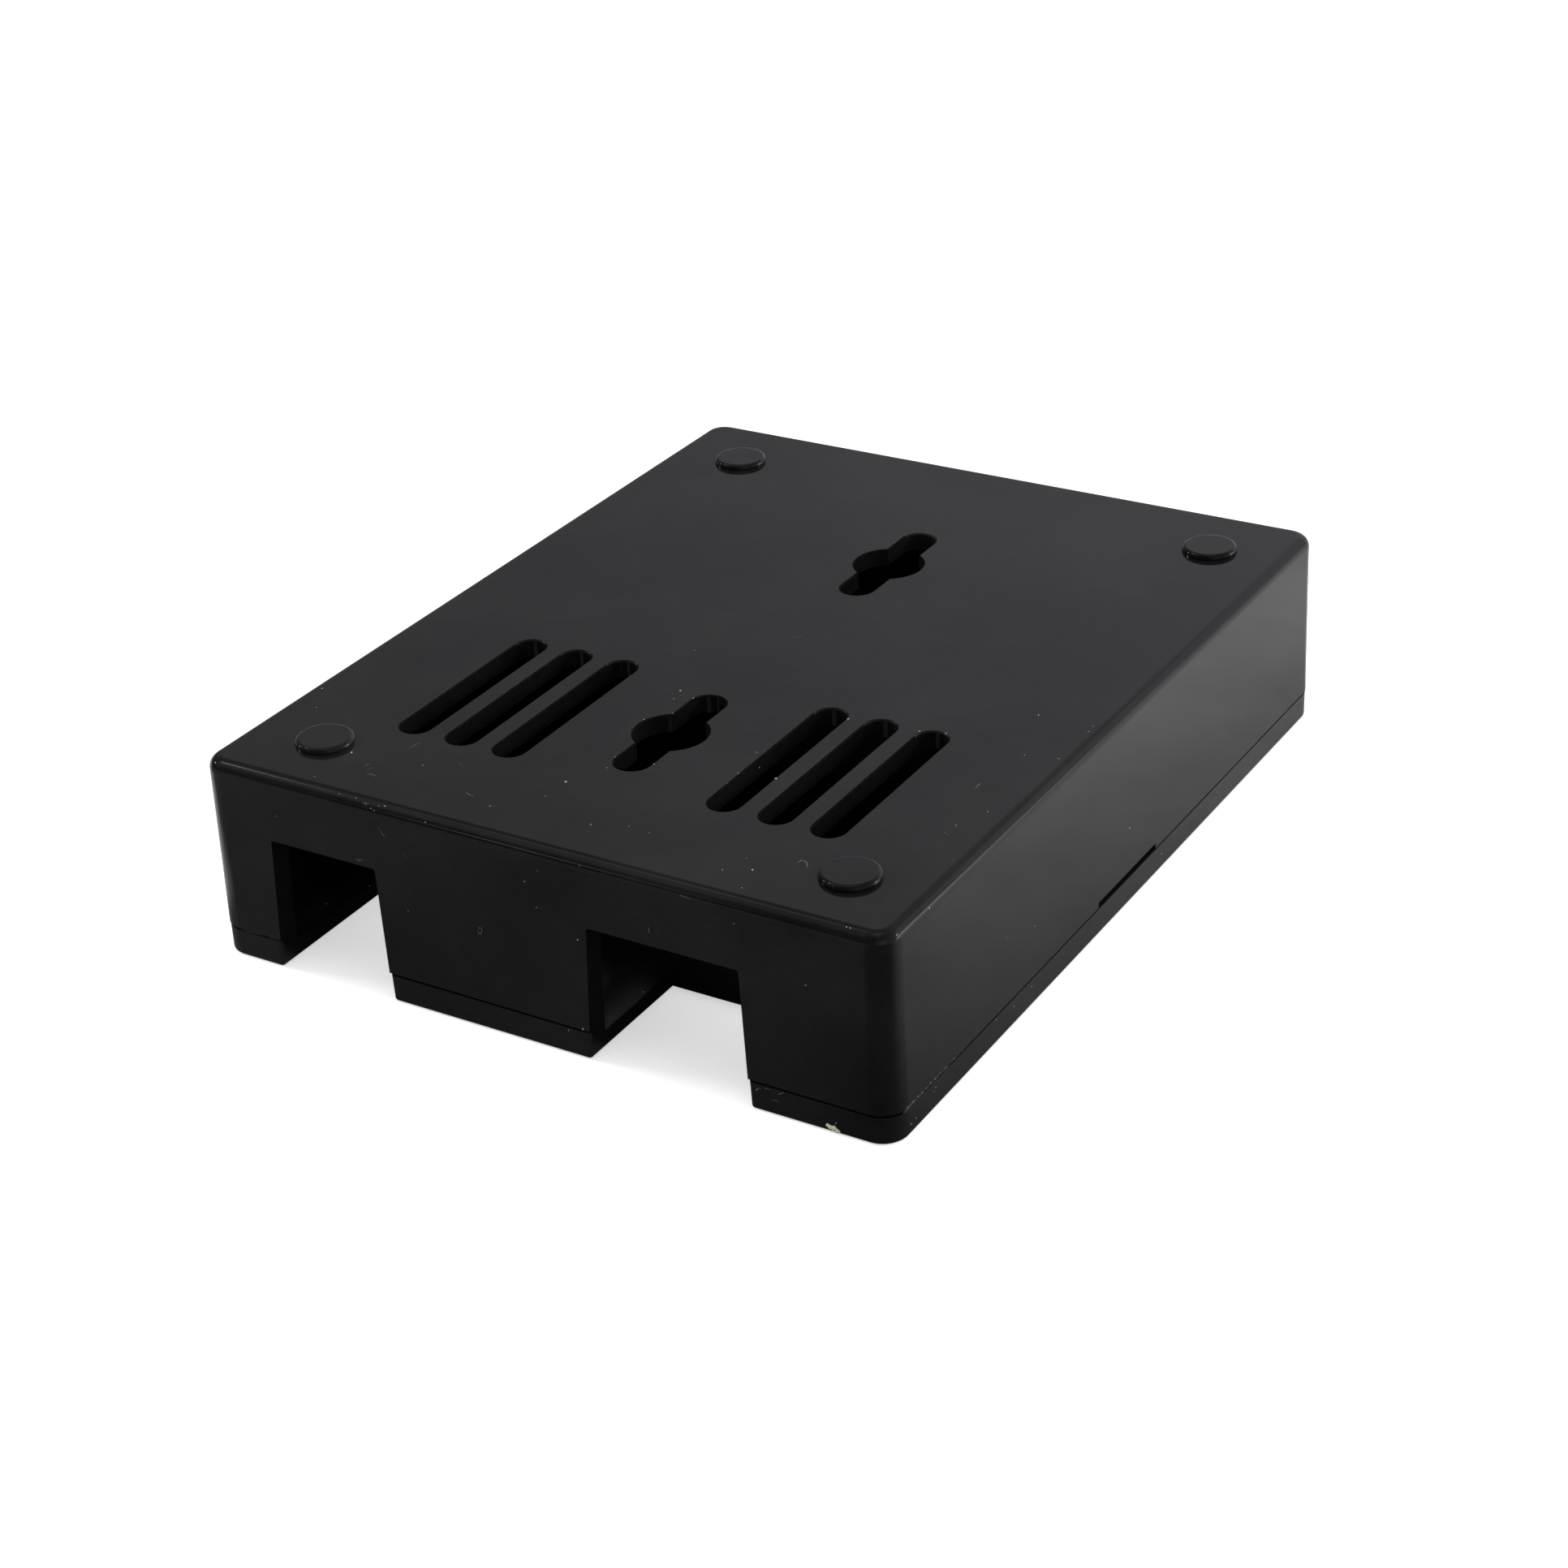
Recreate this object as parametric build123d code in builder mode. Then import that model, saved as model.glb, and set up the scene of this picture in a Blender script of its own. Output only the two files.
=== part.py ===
from build123d import *

import math
import os

# Snap case for a 68.6 x 53.3 mm microcontroller board, lying upside down on its lid.
#
# The base shell holds the board on four posts and carries the feet, the wall-mounting keyholes and the
# vents. The lid closes it. Both are cut away at the front for the board's two sockets.
#
# Frame: millimetres, +Z up, origin at the bottom centre of the lid. +X runs along the front wall, which
# faces -Y. The base's own outer face is up.

# The board and its sockets, seen from the board's soldered side
board_length = 68.6
board_width = 53.3
board_thickness = 1.6
board_left_gap = 1.9
board_right_gap = 1.6
board_end_gap = 1.65
far_hole_inset = 2.6
board_holes = [
    (14.0, 2.5),
    (15.2, 50.8),
    (board_length - far_hole_inset, 7.6),
    (board_length - far_hole_inset, 35.6),
]
hole_diameter = 3.2
pin_clearance = 0.15
power_socket_y = 7.6
power_socket_width = 9.0
data_socket_y = 38.1
data_socket_width = 12.0
socket_side_clearance = 0.45
socket_top_clearance = 0.35

# Outline and walls of the closed case
wall = 2.0
corner_radius = 2.1

# Base shell, drafted so that it is widest at the lid
shell_height = 14.6
wall_draft = 0.7
floor_thickness = 1.5
outer_edge_radius = 1.0
inner_corner_radius = 0.8
inner_edge_chamfer = 0.4

# Lid
lid_height = 2.5
lid_thickness = 1.5
lid_inset = 0.05
lid_edge_radius = 0.28
seam_height = 0.2
seam_depth = 0.6

# Cut-outs for the sockets
notch_draft = 2.3
notch_corner_radius = 0.25
lid_notch_edge_radius = 0.3
power_notch_depth = 14.0
data_notch_depth = 11.5

# The feet, keyholes and vents sit a little off the middle of the base
face_shift_x = 0.35
face_shift_y = -0.5

# Feet moulded on the base
foot_diameter = 4.65
foot_height = 0.5
foot_rim_radius = 0.35
foot_inset_x = 7.1
foot_inset_y = 7.2

# Keyholes for hanging the case on two screws
keyhole_diameter = 5.95
keyhole_slot_width = 2.95
keyhole_slot_length = 13.6
keyhole_junction_radius = 0.2
keyhole_front_y = -17.7
keyhole_spacing = 34.4

# Vents on both sides of the front keyhole
vent_width = 2.65
vent_length = 18.1
vent_pitch = 4.43
vent_first_x = 9.65
vents_per_side = 3
hole_edge_chamfer = 0.12

# Posts for the board
post_diameter = 5.0
post_height = 2.9
pin_height = 2.4
pin_tip_chamfer = 0.4

# Slits for a screwdriver in the long walls
pry_length = 10.45
pry_height = 0.45

# Snap tabs that stand on the lid inside the walls
tab_gap = 0.3
tab_thickness = 1.2
tab_rise = 2.2
tab_lead_in = 0.4
bead_pass_gap = 0.05
bead_length = 0.8
bead_drop = 0.9
bead_clearance = 0.15
side_tab_width = 10.0
side_tab_y = 16.0
back_tab_width = 16.0
front_tab_width = 8.0

# Levels and places that follow from the sizes
parting_z = lid_height
top_z = parting_z + shell_height
ceiling_z = top_z - floor_thickness
cavity_width = board_left_gap + board_width + board_right_gap
cavity_length = board_length + 2 * board_end_gap
case_width = cavity_width + 2 * wall
case_length = cavity_length + 2 * wall
front_y = -case_length / 2
board_x = -cavity_width / 2 + board_left_gap
board_y = -cavity_length / 2 + board_end_gap
post_places = [(board_x + across, board_y + along) for along, across in board_holes]
notch_top_z = ceiling_z - post_height - board_thickness + socket_top_clearance
power_x = board_x + power_socket_y
data_x = board_x + data_socket_y
power_notch_width = power_socket_width + 2 * socket_side_clearance
data_notch_width = data_socket_width + 2 * socket_side_clearance
notch_spread = (notch_top_z - parting_z) * math.tan(math.radians(notch_draft))
lid_notch_spread = notch_top_z * math.tan(math.radians(notch_draft))
front_tab_x = ((power_x + power_notch_width / 2) + (data_x - data_notch_width / 2)) / 2
pin_diameter = hole_diameter - 2 * pin_clearance
tab_top_z = parting_z + tab_rise
bead_z = tab_top_z - bead_drop
bead_height = tab_gap - bead_pass_gap

# Each tab: where its wall's inner face is, the way into the case, and its width
tabs = [
    ((sx * cavity_width / 2, sy * side_tab_y), (-sx, 0, 0), side_tab_width)
    for sx in (-1, 1)
    for sy in (-1, 1)
]
tabs.append(((0, cavity_length / 2), (0, -1, 0), back_tab_width))
tabs.append(((front_tab_x, -cavity_length / 2), (0, 1, 0), front_tab_width))


def wall_section(place, inward):
    """The upright plane across a wall at a tab, with local X into the case and local Y up."""
    into = Vector(*inward)
    return Plane(origin=(*place, 0), x_dir=into, z_dir=into.cross(Vector(0, 0, 1)))


# The base's hollow, with the broken inner edges of a moulding
with BuildPart() as hollow:
    with BuildSketch(Plane.XY.offset(parting_z)):
        RectangleRounded(cavity_width, cavity_length, inner_corner_radius)
    extrude(amount=shell_height - floor_thickness)
    chamfer(hollow.faces().sort_by(Axis.Z)[-1].edges(), inner_edge_chamfer)

# One keyhole: a round entry for the screw's head, with a slot both ways
with BuildSketch() as keyhole:
    Circle(keyhole_diameter / 2)
    SlotOverall(keyhole_slot_length, keyhole_slot_width, rotation=90)
    junctions = keyhole.vertices().filter_by(lambda v: abs(v.Y) < keyhole_diameter / 2)
    fillet(junctions, keyhole_junction_radius)

with BuildPart() as base_shell:
    with BuildSketch(Plane.XY.offset(parting_z)):
        RectangleRounded(case_width, case_length, corner_radius)
    extrude(amount=shell_height, taper=wall_draft)
    fillet(base_shell.faces().sort_by(Axis.Z)[-1].edges(), outer_edge_radius)
    add(hollow.part, mode=Mode.SUBTRACT)

    # Vents and keyholes through the base, with their outer edges broken
    with BuildSketch(Plane.XY.offset(top_z)):
        with Locations(*[(face_shift_x, face_shift_y + keyhole_front_y + n * keyhole_spacing) for n in (0, 1)]):
            add(keyhole.sketch)
        vent_x = [side * (vent_first_x + n * vent_pitch) for side in (-1, 1) for n in range(vents_per_side)]
        with Locations(*[(face_shift_x + x, face_shift_y + keyhole_front_y) for x in vent_x]):
            SlotOverall(vent_length, vent_width, rotation=90)
    extrude(amount=-floor_thickness, mode=Mode.SUBTRACT)
    base_face = base_shell.faces().sort_by(Axis.Z)[-1]
    chamfer([edge for wire in base_face.inner_wires() for edge in wire.edges()], hole_edge_chamfer)

    # Feet
    with BuildSketch(Plane.XY.offset(top_z)):
        with Locations((face_shift_x, face_shift_y)):
            with GridLocations(case_width - 2 * foot_inset_x, case_length - 2 * foot_inset_y, 2, 2):
                Circle(foot_diameter / 2)
    extrude(amount=foot_height)
    fillet(base_shell.faces().group_by(Axis.Z)[-1].edges(), foot_rim_radius)

    # Posts for the board, with pins that go through its holes
    with BuildSketch(Plane.XY.offset(ceiling_z)):
        with Locations(*post_places):
            Circle(post_diameter / 2)
    extrude(amount=-post_height)
    with BuildSketch(Plane.XY.offset(ceiling_z - post_height)):
        with Locations(*post_places):
            Circle(pin_diameter / 2)
    extrude(amount=-pin_height)
    pin_tips = base_shell.edges().filter_by(GeomType.CIRCLE).filter_by(
        lambda ring: math.isclose(ring.radius, pin_diameter / 2, abs_tol=0.001)
        and math.isclose(ring.arc_center.Z, ceiling_z - post_height - pin_height, abs_tol=0.001)
    )
    chamfer(pin_tips, pin_tip_chamfer)

    # Notches in the front wall, wider towards the lid
    for middle, width in ((power_x, power_notch_width), (data_x, data_notch_width)):
        with BuildSketch(Plane.XZ.offset(-front_y)) as notch:
            with BuildLine():
                Polyline(
                    (middle - width / 2 - notch_spread, parting_z),
                    (middle - width / 2, notch_top_z),
                    (middle + width / 2, notch_top_z),
                    (middle + width / 2 + notch_spread, parting_z),
                    close=True,
                )
            make_face()
            fillet(notch.vertices().group_by(Axis.Z)[-1], notch_corner_radius)
        extrude(amount=-wall, mode=Mode.SUBTRACT)

    # Slits at the lid for a screwdriver
    with BuildSketch(Plane.XY.offset(parting_z)):
        with GridLocations(case_width - wall, 0, 2, 1):
            Rectangle(wall, pry_length)
    extrude(amount=pry_height, mode=Mode.SUBTRACT)

    # Shallow pockets in the walls for the beads of the lid's tabs
    for place, inward, width in tabs:
        with BuildSketch(wall_section(place, inward)):
            with Locations((0, bead_z)):
                Rectangle(2 * (bead_height + bead_clearance), bead_length + 2 * bead_clearance)
        extrude(amount=width / 2 + bead_clearance, both=True, mode=Mode.SUBTRACT)

with BuildPart() as lid:
    with BuildSketch():
        RectangleRounded(case_width - 2 * lid_inset, case_length - 2 * lid_inset, corner_radius - lid_inset)
    extrude(amount=lid_height - seam_height)
    with BuildSketch(Plane.XY.offset(lid_height - seam_height)):
        RectangleRounded(case_width - 2 * seam_depth, case_length - 2 * seam_depth, corner_radius - seam_depth)
    extrude(amount=seam_height)

    # The plate's inner side
    with BuildSketch(Plane.XY.offset(lid_thickness)):
        RectangleRounded(cavity_width, cavity_length, inner_corner_radius)
    extrude(amount=lid_height - lid_thickness, mode=Mode.SUBTRACT)

    # Snap tabs along the inside of the rim, each with a bead
    for place, inward, width in tabs:
        with BuildSketch(wall_section(place, inward)):
            with BuildLine():
                Polyline(
                    (tab_gap, bead_z - bead_length / 2),
                    (tab_gap, lid_height),
                    (0, lid_height),
                    (0, lid_thickness),
                    (tab_gap + tab_thickness, lid_thickness),
                    (tab_gap + tab_thickness, tab_top_z),
                    (tab_gap + tab_lead_in, tab_top_z),
                    (tab_gap, tab_top_z - tab_lead_in),
                    (tab_gap, bead_z + bead_length / 2),
                )
                ThreePointArc(
                    (tab_gap, bead_z + bead_length / 2),
                    (tab_gap - bead_height, bead_z),
                    (tab_gap, bead_z - bead_length / 2),
                )
            make_face()
        extrude(amount=width / 2, both=True)

    # Cut-outs that let the sockets through the rim and the plate, with sides in line with the notches
    for middle, width, depth in (
        (power_x, power_notch_width, power_notch_depth),
        (data_x, data_notch_width, data_notch_depth),
    ):
        with BuildSketch(Plane.XZ.offset(-front_y)):
            with BuildLine():
                Polyline(
                    (middle - width / 2 - lid_notch_spread, 0),
                    (middle - width / 2 - notch_spread, lid_height),
                    (middle + width / 2 + notch_spread, lid_height),
                    (middle + width / 2 + lid_notch_spread, 0),
                    close=True,
                )
            make_face()
        extrude(amount=-depth, mode=Mode.SUBTRACT)

    # Rounded outer edge, all round the face that the case stands on, and at the cut-outs' corners
    outer_face_y = front_y + lid_inset
    cut_corners = lid.edges().filter_by(
        lambda edge: math.isclose(edge.center().Y, outer_face_y, abs_tol=0.001)
        and abs(edge.tangent_at(0.5).Z) > 0.9
        and edge.length > lid_height / 2
    )
    fillet(cut_corners, lid_notch_edge_radius)
    under_face = lid.faces().sort_by(Axis.Z)[0]
    outer_rim = under_face.outer_wire().edges().filter_by(
        lambda edge: edge.center().Y < outer_face_y + lid_notch_edge_radius
        or abs(edge.center().X) > cavity_width / 2
        or edge.center().Y > cavity_length / 2
    )
    fillet(outer_rim, lid_edge_radius)

base_shell.part.label = "base_shell"
lid.part.label = "lid"
os.makedirs("parts", exist_ok=True)
export_step(base_shell.part, "parts/base_shell.step")
export_step(lid.part, "parts/lid.step")
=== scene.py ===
"""Finish and studio for the circuit board case, a gloss black snap case lying upside down on its lid."""

import logging
import math
import random
from dataclasses import dataclass, field
from enum import Enum

import bmesh
import bpy
from mathutils import Matrix, Vector


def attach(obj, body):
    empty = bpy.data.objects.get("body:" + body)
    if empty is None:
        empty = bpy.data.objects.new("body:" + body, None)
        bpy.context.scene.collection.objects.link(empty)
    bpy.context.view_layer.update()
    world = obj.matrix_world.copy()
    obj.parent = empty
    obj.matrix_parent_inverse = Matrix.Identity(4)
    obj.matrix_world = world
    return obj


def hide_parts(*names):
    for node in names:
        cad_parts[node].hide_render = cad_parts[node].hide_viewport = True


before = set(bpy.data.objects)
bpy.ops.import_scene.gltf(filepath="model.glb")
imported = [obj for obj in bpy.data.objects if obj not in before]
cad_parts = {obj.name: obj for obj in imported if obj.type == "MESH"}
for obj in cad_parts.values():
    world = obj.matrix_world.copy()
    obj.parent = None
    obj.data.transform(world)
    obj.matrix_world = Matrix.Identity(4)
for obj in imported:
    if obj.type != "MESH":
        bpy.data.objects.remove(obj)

LOG = logging.getLogger("case_scene")
MM = 0.001
# The shell's half width and half length at the seam, in millimetres.
HALF_WIDTH = 30.4
HALF_LENGTH = 37.95
FLOAT = "NodeSocketFloat"
VECTOR = "NodeSocketVector"
WHITE = (1.0, 1.0, 1.0)

Colour = tuple[float, float, float]
Ramp = tuple[float, float, float, float]


class Ray(Enum):
    """Kinds of ray that a stage object can be seen by, as the object's own switches."""

    CAMERA = "visible_camera"
    DIFFUSE = "visible_diffuse"
    GLOSSY = "visible_glossy"
    TRANSMISSION = "visible_transmission"
    SHADOW = "visible_shadow"


class Graph:
    """Adds nodes to one node tree and wires them."""

    def __init__(self, tree: bpy.types.NodeTree) -> None:
        """Keeps the tree.

        Args:
            tree: The tree that the nodes go into.
        """
        self.tree = tree

    def add(self, kind: str, **settings: object) -> bpy.types.Node:
        """Adds one node.

        Args:
            kind: The node's type name.
            settings: Attributes set on the node.

        Returns:
            The new node.
        """
        node = self.tree.nodes.new(kind)
        for name, value in settings.items():
            setattr(node, name, value)
        return node

    def feed(self, socket: bpy.types.NodeSocket, value: object) -> None:
        """Links an output to an input, or sets the input's own value.

        Args:
            socket: The input.
            value: An output socket, or a plain value.
        """
        if isinstance(value, bpy.types.NodeSocket):
            self.tree.links.new(value, socket)
        else:
            socket.default_value = value

    def math(self, operation: str, *values: object, clamp: bool = False) -> bpy.types.NodeSocket:
        """Adds a Math node.

        Args:
            operation: The node's operation.
            values: Its inputs, sockets or numbers.
            clamp: Whether the result is kept from 0 to 1.

        Returns:
            The node's value.
        """
        node = self.add("ShaderNodeMath", operation=operation, use_clamp=clamp)
        for socket, value in zip(node.inputs, values):
            self.feed(socket, value)
        return node.outputs[0]

    def vector(self, operation: str, *values: object) -> bpy.types.Node:
        """Adds a Vector Math node.

        Args:
            operation: The node's operation.
            values: Its inputs, sockets or vectors.

        Returns:
            The node.
        """
        node = self.add("ShaderNodeVectorMath", operation=operation)
        for socket, value in zip(node.inputs, values):
            self.feed(socket, value)
        return node

    def ramp(
        self, value: object, low: float, high: float, to_low: float = 0.0, to_high: float = 1.0, smooth: bool = True
    ) -> bpy.types.NodeSocket:
        """Maps one range of values to another, held at both ends.

        Args:
            value: The value to map.
            low: Where the input range starts.
            high: Where the input range ends.
            to_low: What the start becomes.
            to_high: What the end becomes.
            smooth: Whether the change eases in and out.

        Returns:
            The mapped value.
        """
        node = self.add("ShaderNodeMapRange", interpolation_type="SMOOTHSTEP" if smooth else "LINEAR")
        for socket, part in zip(node.inputs, (value, low, high, to_low, to_high)):
            self.feed(socket, part)
        return node.outputs["Result"]

    def noise(self, where: object, scale: float, detail: float = 2.0, roughness: float = 0.5) -> bpy.types.NodeSocket:
        """Adds a Noise texture.

        Args:
            where: The coordinates that it reads.
            scale: How many features it has in a metre.
            detail: How many finer layers it adds.
            roughness: How strong the finer layers are.

        Returns:
            Its value, from 0 to 1.
        """
        node = self.add("ShaderNodeTexNoise")
        for name, part in (("Vector", where), ("Scale", scale), ("Detail", detail), ("Roughness", roughness)):
            self.feed(node.inputs[name], part)
        return node.outputs["Fac"]

    def group(self, tree: bpy.types.NodeTree, **values: object) -> bpy.types.NodeSocket:
        """Places a node group that has one output.

        Args:
            tree: The group.
            values: Its inputs by name.

        Returns:
            The group's output.
        """
        node = self.add("ShaderNodeGroup", node_tree=tree)
        for name, value in values.items():
            self.feed(node.inputs[name], value)
        return node.outputs[0]

    def split(self, kind: str, value: bpy.types.NodeSocket) -> bpy.types.bpy_prop_collection:
        """Splits a vector or a colour.

        Args:
            kind: The type name of the node that splits it.
            value: The vector or the colour.

        Returns:
            Its three parts.
        """
        node = self.add(kind)
        self.feed(node.inputs[0], value)
        return node.outputs

    def mix_colours(self, share: object, first: object, second: object) -> bpy.types.NodeSocket:
        """Mixes two colours.

        Args:
            share: How much of the second colour there is, from 0 to 1.
            first: The first colour, a socket or its red, green and blue.
            second: The second colour, a socket or its red, green and blue.

        Returns:
            The mixed colour.
        """
        node = self.add("ShaderNodeMix", data_type="RGBA")
        self.feed(node.inputs[0], share)
        for socket, colour in ((node.inputs[6], first), (node.inputs[7], second)):
            self.feed(socket, colour if isinstance(colour, bpy.types.NodeSocket) else (*colour, 1.0))
        return node.outputs[2]

    def coordinates(self) -> bpy.types.NodeSocket:
        """Gives the object's own coordinates, in metres."""
        return self.add("ShaderNodeTexCoord").outputs["Object"]

    def glow(self, colour: Colour, strength: bpy.types.NodeSocket) -> bpy.types.Node:
        """Adds an Emission shader.

        Args:
            colour: Its colour.
            strength: Its strength.

        Returns:
            The shader.
        """
        shader = self.add("ShaderNodeEmission")
        shader.inputs["Color"].default_value = (*colour, 1.0)
        self.feed(shader.inputs["Strength"], strength)
        return shader

    def put_out(self, shader: bpy.types.Node, kind: str = "ShaderNodeOutputMaterial") -> None:
        """Wires a shader to the tree's output.

        Args:
            shader: The shader.
            kind: The output's type name.
        """
        self.feed(self.add(kind).inputs["Surface"], shader.outputs[0])


def new_group(
    name: str, inputs: dict[str, tuple[str, object]], output: str
) -> tuple[Graph, bpy.types.Node, bpy.types.NodeSocket]:
    """Starts a shader node group with named sockets, which puts out one number.

    Args:
        name: The group's name.
        inputs: Socket type and first value by input name.
        output: The output's name.

    Returns:
        The group's graph, its input node, and the socket that its result goes to.
    """
    tree = bpy.data.node_groups.new(name, "ShaderNodeTree")
    for label, (kind, value) in inputs.items():
        socket = tree.interface.new_socket(label, in_out="INPUT", socket_type=kind)
        if value is not None:
            socket.default_value = value
    tree.interface.new_socket(output, in_out="OUTPUT", socket_type=FLOAT)
    graph = Graph(tree)
    return graph, graph.add("NodeGroupInput"), graph.add("NodeGroupOutput").inputs[output]


def new_material(name: str) -> tuple[bpy.types.Material, Graph]:
    """Starts an empty node material.

    Args:
        name: The material's name.

    Returns:
        The material and its graph.
    """
    material = bpy.data.materials.new(name)
    material.use_nodes = True
    material.node_tree.nodes.clear()
    return material, Graph(material.node_tree)


@dataclass
class SurfaceEffects:
    """The shader groups that the plastics share, each built once.

    A share says how strong a layer is beside the others. A scratch's half width and half length are in cells.
    """

    ripple_share: float = 0.06
    grain_share: float = 0.5
    patch_share: float = 0.75
    scratch_half_width: float = 0.006
    scratch_half_length: float = 0.22
    skin: bpy.types.NodeTree = field(init=False)
    haze: bpy.types.NodeTree = field(init=False)
    dust: bpy.types.NodeTree = field(init=False)
    hairlines: bpy.types.NodeTree = field(init=False)
    film: bpy.types.NodeTree = field(init=False)

    def __post_init__(self) -> None:
        """Builds the five groups."""
        self.skin = self.build_skin()
        self.haze = self.build_haze()
        self.dust = self.build_dust()
        self.hairlines = self.build_hairlines()
        self.film = self.build_film()

    def build_skin(self) -> bpy.types.NodeTree:
        """Builds the slow waves of a moulded skin, as a height."""
        graph, given, height = new_group("moulded_skin", {"Where": (VECTOR, None), "Waviness": (FLOAT, 1.0)}, "Height")
        wave = graph.noise(given.outputs["Where"], scale=90.0, detail=1.0)
        ripple = graph.noise(given.outputs["Where"], scale=900.0)
        both = graph.math("MULTIPLY_ADD", ripple, self.ripple_share, wave)
        graph.feed(height, graph.math("MULTIPLY", both, given.outputs["Waviness"]))
        return graph.tree

    def build_haze(self) -> bpy.types.NodeTree:
        """Builds the uneven gloss that handling leaves, as a mask from 0 to 1."""
        graph, given, haze = new_group("handling_haze", {"Where": (VECTOR, None), "Amount": (FLOAT, 1.0)}, "Haze")
        cloud = graph.noise(given.outputs["Where"], scale=70.0, detail=4.0, roughness=0.6)
        smear = graph.vector("MULTIPLY", given.outputs["Where"], (1.0, 3.0, 1.0))
        wipe = graph.noise(smear.outputs[0], scale=160.0, detail=3.0, roughness=0.55)
        blend = graph.math("MULTIPLY", graph.ramp(cloud, low=0.42, high=0.7), wipe)
        graph.feed(haze, graph.math("MULTIPLY", blend, given.outputs["Amount"], clamp=True))
        return graph.tree

    def build_film(self) -> bpy.types.NodeTree:
        """Builds the cloudy film of fine dust and grease that greys a black surface, as a mask from 0 to 1."""
        graph, given, film = new_group("dusty_film", {"Where": (VECTOR, None), "Amount": (FLOAT, 1.0)}, "Film")
        cloud = graph.noise(given.outputs["Where"], scale=55.0, detail=5.0, roughness=0.62)
        grain = graph.noise(given.outputs["Where"], scale=900.0, detail=3.0, roughness=0.6)
        patches = graph.math("MULTIPLY", graph.ramp(cloud, low=0.35, high=0.72), self.patch_share)
        mixed = graph.math("MULTIPLY_ADD", grain, self.grain_share, patches)
        graph.feed(film, graph.math("MULTIPLY", mixed, given.outputs["Amount"], clamp=True))
        return graph.tree

    def scatter(self, graph: Graph, given: bpy.types.Node) -> tuple[bpy.types.Node, bpy.types.bpy_prop_collection]:
        """Adds the cells that marks are scattered in.

        Args:
            graph: The group's graph.
            given: The group's input node.

        Returns:
            The cells' node, and the three chances that each cell has, from 0 to 1.
        """
        cells = graph.add("ShaderNodeTexVoronoi", feature="F1")
        graph.feed(cells.inputs["Vector"], given.outputs["Where"])
        graph.feed(cells.inputs["Scale"], given.outputs["Spacing"])
        return cells, graph.split("ShaderNodeSeparateColor", cells.outputs["Color"])

    def build_dust(self) -> bpy.types.NodeTree:
        """Builds sparse specks of settled dust, as a mask from 0 to 1."""
        sockets = {"Where": (VECTOR, None), "Spacing": (FLOAT, 400.0), "Share": (FLOAT, 0.05), "Size": (FLOAT, 0.1)}
        graph, given, specks = new_group("settled_dust", sockets, "Specks")
        cells, chances = self.scatter(graph, given)
        chosen = graph.math("LESS_THAN", chances[0], given.outputs["Share"])
        reach = graph.math("MULTIPLY", given.outputs["Size"], chances[1])
        inside = graph.math("LESS_THAN", cells.outputs["Distance"], reach)
        graph.feed(specks, graph.math("MULTIPLY", chosen, inside))
        return graph.tree

    def build_hairlines(self) -> bpy.types.NodeTree:
        """Builds short, thin scratches at mixed angles, as a mask from 0 to 1."""
        sockets = {"Where": (VECTOR, None), "Spacing": (FLOAT, 120.0), "Share": (FLOAT, 0.08)}
        graph, given, lines = new_group("hairlines", sockets, "Lines")
        cells, chances = self.scatter(graph, given)
        scaled = graph.vector("SCALE", given.outputs["Where"])
        graph.feed(scaled.inputs["Scale"], given.outputs["Spacing"])
        local = graph.vector("SUBTRACT", scaled.outputs[0], cells.outputs["Position"])
        turn = graph.add("ShaderNodeVectorRotate", rotation_type="Z_AXIS")
        graph.feed(turn.inputs["Vector"], local.outputs[0])
        graph.feed(turn.inputs["Angle"], graph.math("MULTIPLY", chances[1], math.tau))
        across, along, _ = graph.split("ShaderNodeSeparateXYZ", turn.outputs[0])
        thin = graph.math("LESS_THAN", graph.math("ABSOLUTE", across), self.scratch_half_width)
        short = graph.math("LESS_THAN", graph.math("ABSOLUTE", along), self.scratch_half_length)
        chosen = graph.math("LESS_THAN", chances[2], given.outputs["Share"])
        graph.feed(lines, graph.math("MULTIPLY", graph.math("MULTIPLY", thin, short), chosen))
        return graph.tree


# The hole edges' mask also darkens their colour in the plastic: painted shade.
@dataclass(frozen=True)
class HoleEdges:
    """The dull broken edges of the keyholes and vents, apart from their far, polished ends, in millimetres."""

    low_z: float = 16.96
    high_z: float = 17.096
    reach_x: float = 27.5
    reach_y: float = 34.0
    vent_end_y: float = -9.8
    vent_end_reach: float = 0.75
    keyhole_end_y: float = 21.9
    polish: float = 0.75

    def build(self, graph: Graph, where: bpy.types.NodeSocket) -> bpy.types.NodeSocket:
        """Marks the edges.

        Args:
            graph: The material's graph.
            where: The object's own coordinates.

        Returns:
            How dull they are, from 0 to 1; the same value darkens their colour as painted shade.
        """
        x, y, z = graph.split("ShaderNodeSeparateXYZ", where)
        above = graph.math("GREATER_THAN", z, self.low_z * MM)
        rim = graph.math("MULTIPLY", above, graph.math("LESS_THAN", z, self.high_z * MM))
        inner_x = graph.math("LESS_THAN", graph.math("ABSOLUTE", x), self.reach_x * MM)
        inner_y = graph.math("LESS_THAN", graph.math("ABSOLUTE", y), self.reach_y * MM)
        inner = graph.math("MULTIPLY", inner_x, inner_y)
        vent_ends = graph.math("COMPARE", y, self.vent_end_y * MM, self.vent_end_reach * MM)
        keyhole_ends = graph.math("GREATER_THAN", y, self.keyhole_end_y * MM)
        ends = graph.math("MAXIMUM", vent_ends, keyhole_ends)
        kept = graph.math("MULTIPLY_ADD", ends, -self.polish, 1.0)
        return graph.math("MULTIPLY", graph.math("MULTIPLY", rim, inner), kept)


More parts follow.
